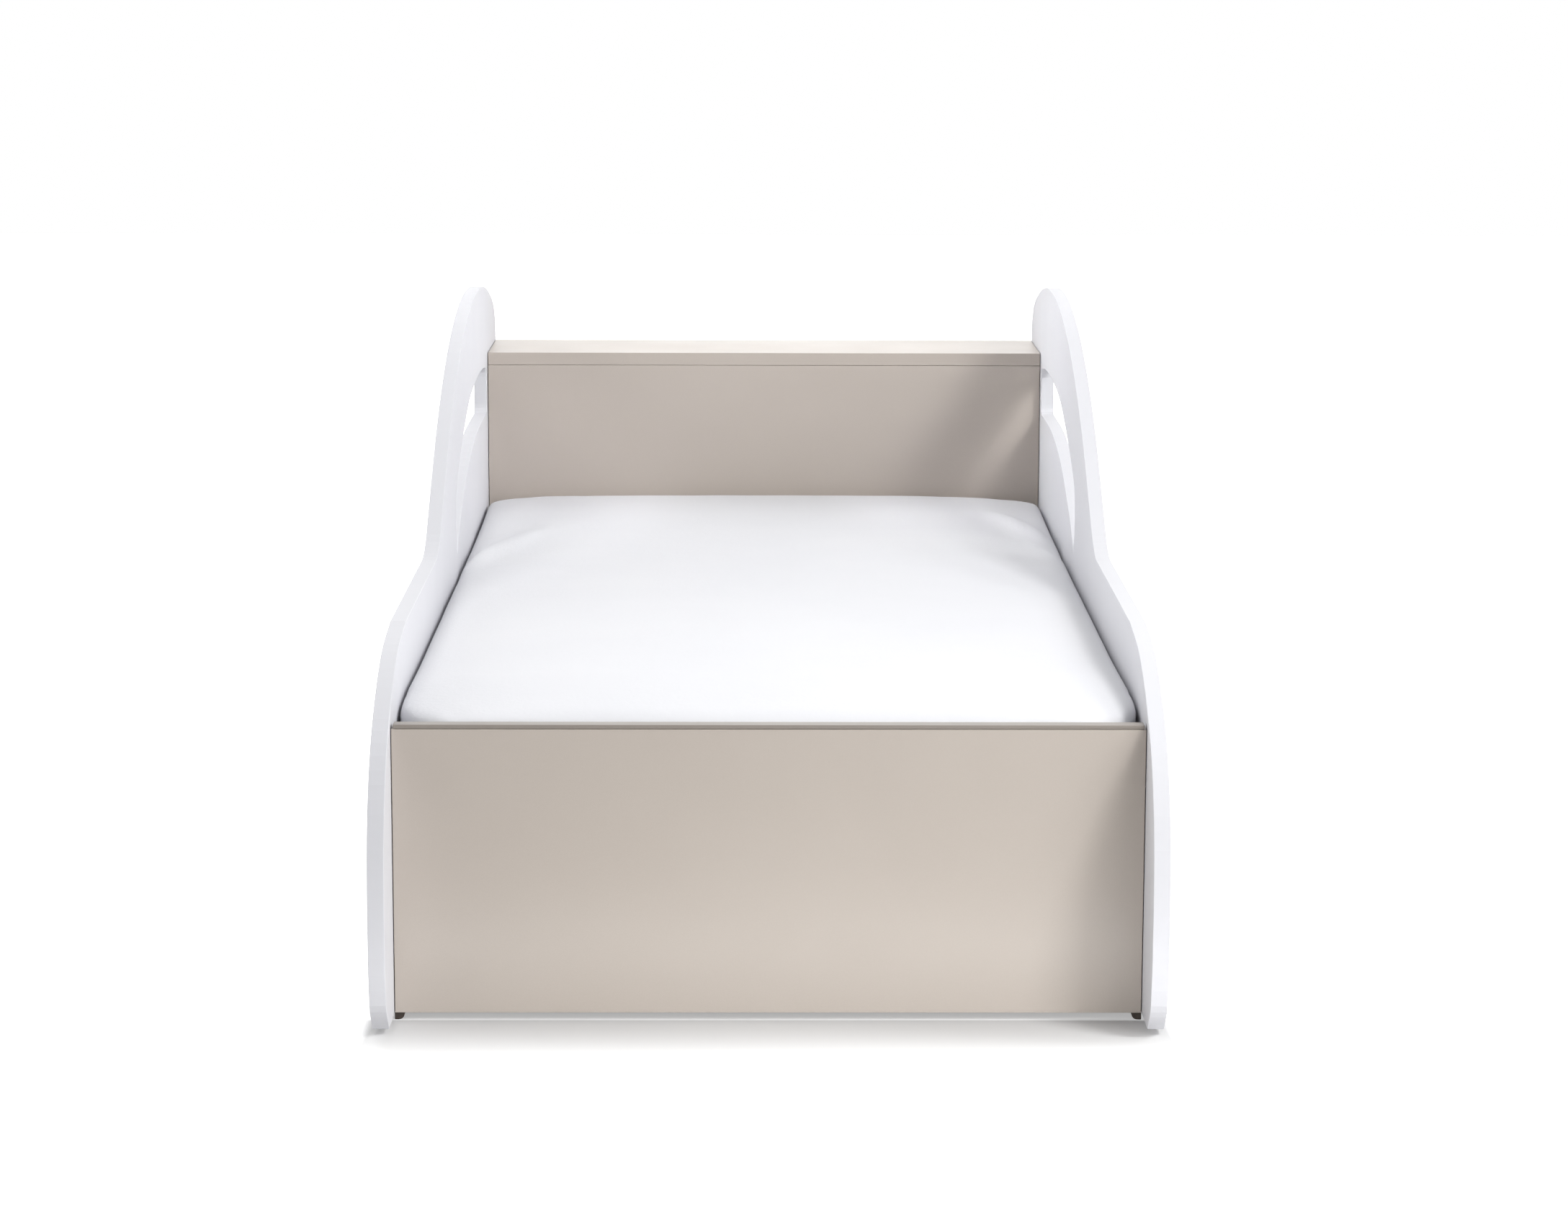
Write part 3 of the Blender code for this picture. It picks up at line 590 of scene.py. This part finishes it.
def cut_open(mesh, low, high):
    """Takes the cover's underside away inside the hem, and softens what is left."""
    centre = (low + high) / 2
    half = (high - low) / 2
    bm = bmesh.new()
    bm.from_mesh(mesh)
    gone = []
    for face in bm.faces:
        middle = face.calc_center_median()
        if (middle.z < low.z + 0.008 and half.x - abs(middle.x - centre.x) > HEM
                and half.y - abs(middle.y - centre.y) > HEM):
            gone.append(face)
    bmesh.ops.delete(bm, geom=gone, context="FACES")
    for _ in range(2):
        bmesh.ops.smooth_vert(bm, verts=[v for v in bm.verts if not v.is_boundary], factor=0.5,
                              use_axis_x=True, use_axis_y=True, use_axis_z=True)
    bm.to_mesh(mesh)
    bm.free()


def finish_cloth(piece, material):
    """One material and smooth shading all over."""
    mesh = piece.data
    mesh.materials.clear()
    mesh.materials.append(material)
    for polygon in mesh.polygons:
        polygon.use_smooth = True


def build_sheet():
    """The fitted sheet: swelled as cloth over the core, hemmed under it, with its elastic gathers."""
    low = SHEET_LOW + Vector((-COVER_OUT, COVER_IN, 0.0004))
    high = SHEET_HIGH - Vector((-COVER_OUT, COVER_IN, COVER_SUNK))
    bm = slab(low, high, 0.0, TOP_ROUND, FOOT_ROUND)
    mesh = bpy.data.meshes.new("bed_sheet")
    bm.to_mesh(mesh)
    bm.free()
    sheet = place("bed_sheet", mesh, COTTON)
    remeshed(sheet, COVER_VOXEL)
    inflate(sheet, SWELL_PRESSURE, SWELL_FRAMES, SWELL_MOST)
    mesh = sheet.data
    shape_cover(mesh, low, high)
    points = points_of(mesh)
    gather_hem(points, low, high)
    set_points(mesh, points)
    cut_open(mesh, low, high)
    finish_cloth(sheet, COTTON)
    thick = sheet.modifiers.new("cloth_thickness", "SOLIDIFY")
    thick.thickness = COVER_CLOTH
    thick.offset = -1.0
    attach(sheet, "mattress")
    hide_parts("fitted_sheet")
    return sheet


def build_elastic():
    """The elastic cord in the sheet's hem, a flat oval tube that the gathers ride on."""
    half_x = (SHEET_HIGH.x - SHEET_LOW.x) / 2 - HEM - 0.001
    half_y = (SHEET_HIGH.y - SHEET_LOW.y) / 2 - HEM - 0.001
    centre = (SHEET_HIGH + SHEET_LOW) / 2
    corner = 0.030
    path = []
    for turn_, (sx, sy) in enumerate(((1, 1), (-1, 1), (-1, -1), (1, -1))):
        for s in range(13):
            a = math.pi / 2 * (turn_ + s / 12)
            path.append(Vector((centre.x + sx * (half_x - corner) + corner * math.cos(a),
                                centre.y + sy * (half_y - corner) + corner * math.sin(a), 0)))
    dense = []
    for i, p in enumerate(path):
        q = path[(i + 1) % len(path)]
        count = max(1, int((q - p).length / 0.006))
        dense += [p.lerp(q, s / count) for s in range(count)]
    bm = bmesh.new()
    rows = []
    level = SHEET_LOW.z + 0.0030
    travelled = 0.0
    for i, p in enumerate(dense):
        q = dense[(i + 1) % len(dense)]
        way = (q - p).normalized()
        side = Vector((way.y, -way.x, 0))
        travelled += (q - p).length
        swell = 0.00035 * math.sin(travelled * math.tau / GATHER)
        row = []
        for s in range(8):
            a = math.tau * s / 8
            row.append(bm.verts.new((p.x + side.x * (ELASTIC_WIDE * math.cos(a)),
                                     p.y + side.y * (ELASTIC_WIDE * math.cos(a)),
                                     level + swell + ELASTIC_HIGH * math.sin(a))))
        rows.append(row)
    for i in range(len(rows)):
        a, b = rows[i - 1], rows[i]
        for s in range(8):
            bm.faces.new((a[s - 1], a[s], b[s], b[s - 1]))
    bmesh.ops.recalc_face_normals(bm, faces=bm.faces)
    mesh = bpy.data.meshes.new("sheet_elastic")
    bm.to_mesh(mesh)
    bm.free()
    band = place("sheet_elastic", mesh, COTTON)
    finish_cloth(band, COTTON)
    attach(band, "mattress")
    return band


def build_pad():
    """The foam mattress in its ticking, quilted underneath, a little smaller than the sheet."""
    low = CORE_LOW + Vector((0.004, 0.004, 0.0045))
    high = CORE_HIGH - Vector((0.004, 0.004, 0.012))
    bm = slab(low, high, 0.004, TOP_ROUND - 0.001, FOOT_ROUND - 0.002, 8, 6)
    mesh = bpy.data.meshes.new("mattress_pad")
    bm.to_mesh(mesh)
    bm.free()
    pad = place("mattress_pad", mesh, TICK)
    remeshed(pad, PAD_VOXEL)
    mesh = pad.data
    points = points_of(mesh)
    u = (points[:, 0] + points[:, 1]) / QUILT
    v = (points[:, 0] - points[:, 1]) / QUILT
    channel = np.minimum(np.abs(u - np.round(u)), np.abs(v - np.round(v)))
    under = falloff(-points[:, 2], -(low.z + 0.010), -(low.z + 0.001))
    points[:, 2] += under * (QUILT_DEEP - QUILT_DEEP * falloff(channel, 0.0, 0.30))
    set_points(mesh, points)
    finish_cloth(pad, TICK)
    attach(pad, "mattress")
    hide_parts("mattress_core")
    return pad


# ---------------------------------------------------------------- studio

def build_floor():
    """The pale floor, glowing with painted shade round the bed, a stage and not part of the bed."""
    bm = bmesh.new()
    bmesh.ops.create_grid(bm, x_segments=8, y_segments=8, size=9.0)
    mesh = bpy.data.meshes.new("floor")
    bm.to_mesh(mesh)
    bm.free()
    floor = place("floor", mesh, floor_material())
    return floor


def area_light(name, place_, target, size_x, size_y, power, spread=180):
    """A soft rectangular lamp, not seen by the camera. spread is its beam's angle in degrees."""
    light = bpy.data.lights.new(name, "AREA")
    light.shape = "RECTANGLE"
    light.size = size_x
    light.size_y = size_y
    light.energy = power
    light.spread = math.radians(spread)
    item = bpy.data.objects.new(name, light)
    bpy.context.scene.collection.objects.link(item)
    item.location = place_
    item.rotation_mode = "QUATERNION"
    item.rotation_quaternion = (Vector(target) - Vector(place_)).to_track_quat("-Z", "Y")
    item.visible_camera = False
    return item


# The white room's strength towards each side: back, left and right
ROOM = (((0, 1, 0), 1.72), ((-1, 0, 0), 1.50), ((1, 0, 0), 0.98))
# Each lamp: name, place, target, its two sizes, power in watts, and its beam's angle where narrow
LAMPS = (("front_right_high", (1.7, -2.2, 2.3), (0.0, 0.67, 0.35), 0.7, 0.7, 51.0),
         ("front_right_mid", (1.1, -2.6, 1.6), (0.0, 0.67, 0.35), 0.5, 0.5, 9.0),
         ("front_right_low", (1.9, -2.6, 0.6), (0.3, -0.7, 0.1), 0.9, 0.9, 10.1),
         ("front_left", (-2.7, -2.6, 1.5), (0.0, -0.2, 0.25), 1.5, 1.5, 5.0),
         ("right_high", (2.0, -0.9, 1.8), (0.0, 0.4, 0.3), 0.6, 0.6, 11.0),
         ("left_side", (-2.9, 0.2, 1.6), (0.0, -0.2, 0.25), 1.6, 1.6, 2.4),
         ("left_top", (-1.2, 0.3, 2.6), (0.0, 0.2, 0.3), 0.8, 0.8, 12.5),
         ("top", (0.2, 0.0, 3.0), (0.0, 0.0, 0.2), 2.4, 2.4, 8.0),
         ("back_top", (0.3, 2.4, 2.4), (0.0, 0.2, 0.3), 2.0, 1.2, 8.1),
         ("front_card", (0.10, -0.98, 0.02), (0.10, -0.756, 0.04), 1.0, 0.04, 0.36),
         ("left_fin", (2.2, 0.35, 1.75), (-0.36, 0.55, 0.50), 0.4, 0.4, 0.27, 20),
         ("right_fin", (-2.2, 0.35, 1.75), (0.36, 0.55, 0.50), 0.4, 0.4, 0.36, 20))


def build_lights():
    """A white room, soft lamps, the strongest from the front right, and a low card at the footboard."""
    world = bpy.data.worlds.new("studio")
    bpy.context.scene.world = world
    world.use_nodes = True
    tree = world.node_tree
    coords = tree.nodes.new("ShaderNodeTexCoord")
    total = None
    for way, strength in ROOM:
        facing = tree.nodes.new("ShaderNodeVectorMath")
        facing.operation = "DOT_PRODUCT"
        tree.links.new(coords.outputs["Generated"], facing.inputs[0])
        facing.inputs[1].default_value = way
        ahead = tree.nodes.new("ShaderNodeMath")
        ahead.operation = "MAXIMUM"
        tree.links.new(facing.outputs["Value"], ahead.inputs[0])
        ahead.inputs[1].default_value = 0.0
        squared = tree.nodes.new("ShaderNodeMath")
        squared.operation = "MULTIPLY"
        tree.links.new(ahead.outputs[0], squared.inputs[0])
        tree.links.new(ahead.outputs[0], squared.inputs[1])
        share = tree.nodes.new("ShaderNodeMath")
        share.operation = "MULTIPLY_ADD"
        tree.links.new(squared.outputs[0], share.inputs[0])
        share.inputs[1].default_value = strength
        share.inputs[2].default_value = 0.0
        if total:
            tree.links.new(total, share.inputs[2])
        total = share.outputs[0]
    room = tree.nodes["Background"]
    room.inputs["Color"].default_value = (1.0, 1.0, 1.0, 1.0)
    tree.links.new(total, room.inputs["Strength"])
    backdrop = tree.nodes.new("ShaderNodeBackground")
    backdrop.inputs["Color"].default_value = (1.0, 1.0, 1.0, 1.0)
    backdrop.inputs["Strength"].default_value = 1.0
    seen = tree.nodes.new("ShaderNodeLightPath")
    mix = tree.nodes.new("ShaderNodeMixShader")
    tree.links.new(seen.outputs["Is Camera Ray"], mix.inputs[0])
    tree.links.new(room.outputs[0], mix.inputs[1])
    tree.links.new(backdrop.outputs[0], mix.inputs[2])
    tree.links.new(mix.outputs[0], tree.nodes["World Output"].inputs["Surface"])
    for lamp in LAMPS:
        area_light(*lamp)


CAMERA_PLACE = Vector((-0.0188, -4.4081, 1.0375))
CAMERA_YAW, CAMERA_PITCH, CAMERA_ROLL = 0.514, 9.956, 0.163
CAMERA_LENS = 90.0


def build_camera():
    """Nearly level with a little roll, looking down on the bed from beyond its foot."""
    yaw, pitch, roll = (math.radians(angle) for angle in (CAMERA_YAW, CAMERA_PITCH, CAMERA_ROLL))
    forward = Vector((math.sin(yaw) * math.cos(pitch), math.cos(yaw) * math.cos(pitch), -math.sin(pitch)))
    right = Vector((math.cos(yaw), -math.sin(yaw), 0))
    up = right.cross(forward)
    across = right * math.cos(roll) + up * math.sin(roll)
    upright = up * math.cos(roll) - right * math.sin(roll)
    data = bpy.data.cameras.new("camera")
    data.lens = CAMERA_LENS
    data.sensor_width = 36.0
    data.sensor_fit = "HORIZONTAL"
    data.clip_start = 0.1
    data.clip_end = 60.0
    camera = bpy.data.objects.new("camera", data)
    bpy.context.scene.collection.objects.link(camera)
    turn_ = Matrix((across, upright, -forward)).transposed()
    camera.matrix_world = Matrix.Translation(CAMERA_PLACE) @ turn_.to_4x4()
    bpy.context.scene.camera = camera


bpy.context.scene.view_settings.view_transform = "Standard"
bpy.context.scene.view_settings.look = "None"
dress_frame()
build_camera()
build_lights()
build_floor()
SHEET = build_sheet()
ELASTIC = build_elastic()
PAD = build_pad()
